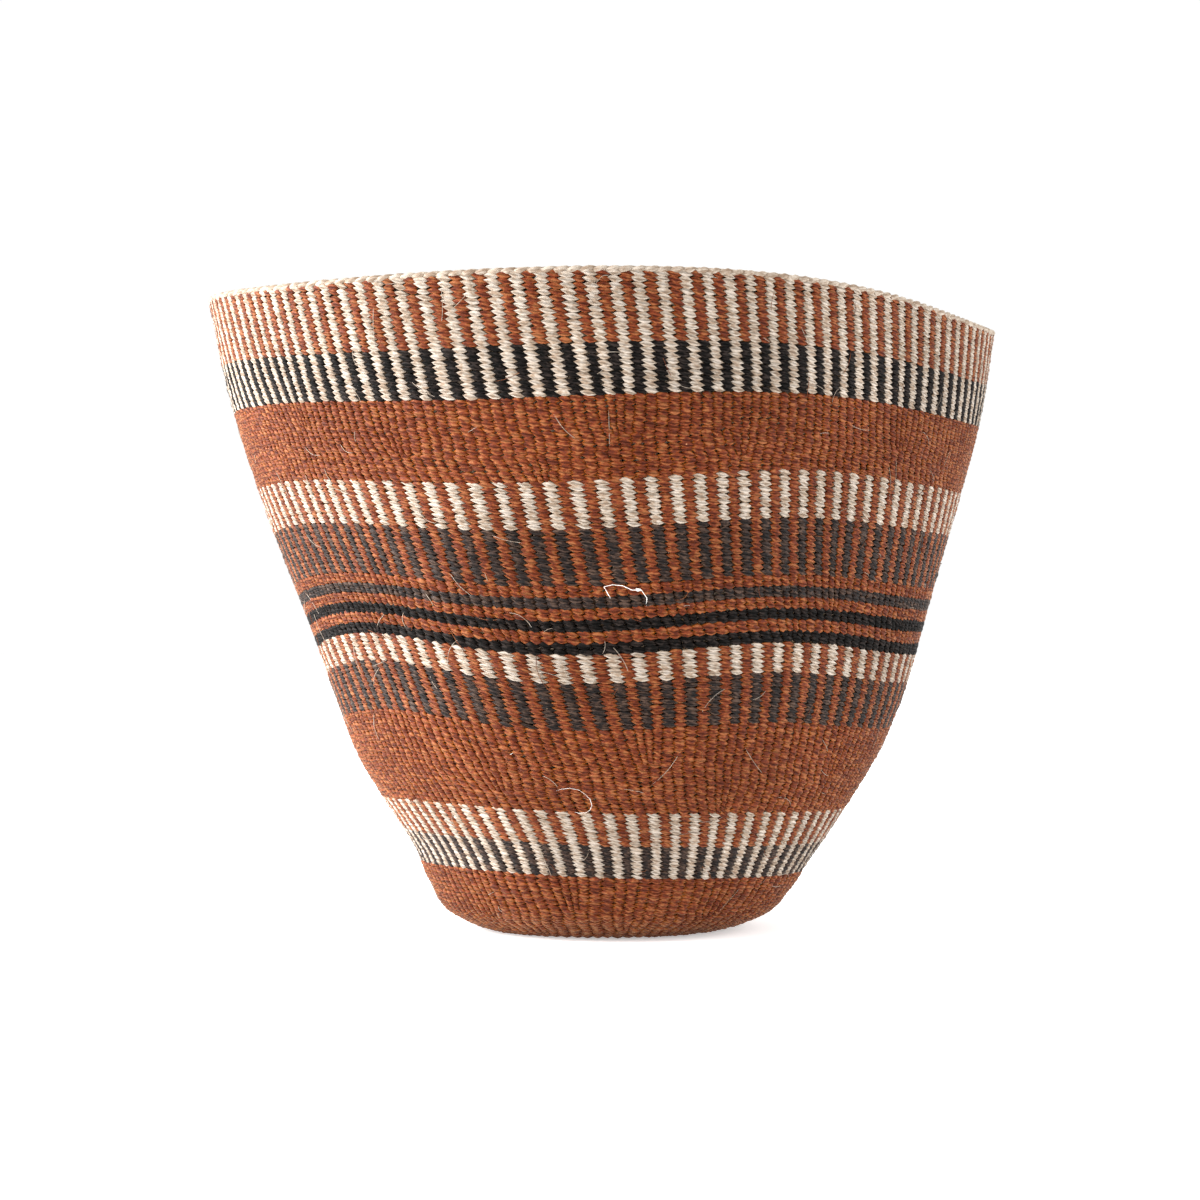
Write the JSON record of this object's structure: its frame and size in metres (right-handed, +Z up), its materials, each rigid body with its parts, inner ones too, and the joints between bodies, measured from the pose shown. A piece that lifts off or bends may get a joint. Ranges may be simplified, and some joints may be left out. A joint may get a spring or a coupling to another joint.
{
  "type": "kiondo basket",
  "caption": "Round-mouthed sisal basket, twined in rust, black and natural bands over warp cords, with a plaited rim and a flat base.",
  "frame": {"origin": "middle of the basket's box on the surface that it stands on", "axes": "+Z up out of the mouth, -Y towards the side that the picture shows, +X to the right of that side"},
  "size_m": [0.2994, 0.2894, 0.2404],
  "materials": {
    "sisal_rust": "twined sisal, dyed rust, matte",
    "sisal_black": "twined sisal, dyed black, matte",
    "sisal_charcoal": "twined sisal, dyed charcoal brown, matte",
    "sisal_natural": "undyed sisal, matte",
    "sisal_natural_and_rust": "undyed and rust sisal strands in turn, matte",
    "sisal_natural_and_black": "undyed and black sisal strands in turn, matte",
    "sisal_charcoal_and_rust": "charcoal and rust sisal strands in turn, matte"
  },
  "bodies": {
    "root": {"base_start_knot": "sisal_rust", "base_twining": "sisal_rust", "warp_cords": "sisal_natural", "inner_floor_and_foot": "sisal_rust", "inner_foot_bands": "sisal_natural_and_black", "inner_lower_bands": "sisal_charcoal_and_rust", "inner_lines": "sisal_black", "inner_upper_bands": "sisal_rust", "inner_rim_bands": "sisal_natural_and_rust", "band_rust_foot": "sisal_rust", "band_natural_black_foot": "sisal_natural_and_black", "band_natural_rust_foot": "sisal_natural_and_rust", "band_rust_lower": "sisal_rust", "band_charcoal_rust_lower": "sisal_charcoal_and_rust", "band_natural_rust_middle": "sisal_natural_and_rust", "line_black_lower": "sisal_black", "line_rust_lower": "sisal_rust", "line_black_upper": "sisal_black", "line_rust_middle": "sisal_rust", "line_charcoal": "sisal_charcoal", "line_rust_upper": "sisal_rust", "band_charcoal_rust_upper": "sisal_charcoal_and_rust", "band_natural_rust_upper": "sisal_natural_and_rust", "band_rust_upper": "sisal_rust", "band_natural_black_upper": "sisal_natural_and_black", "band_natural_rust_rim": "sisal_natural_and_rust", "rim_braid": "sisal_natural"}
  },
  "joints": []
}
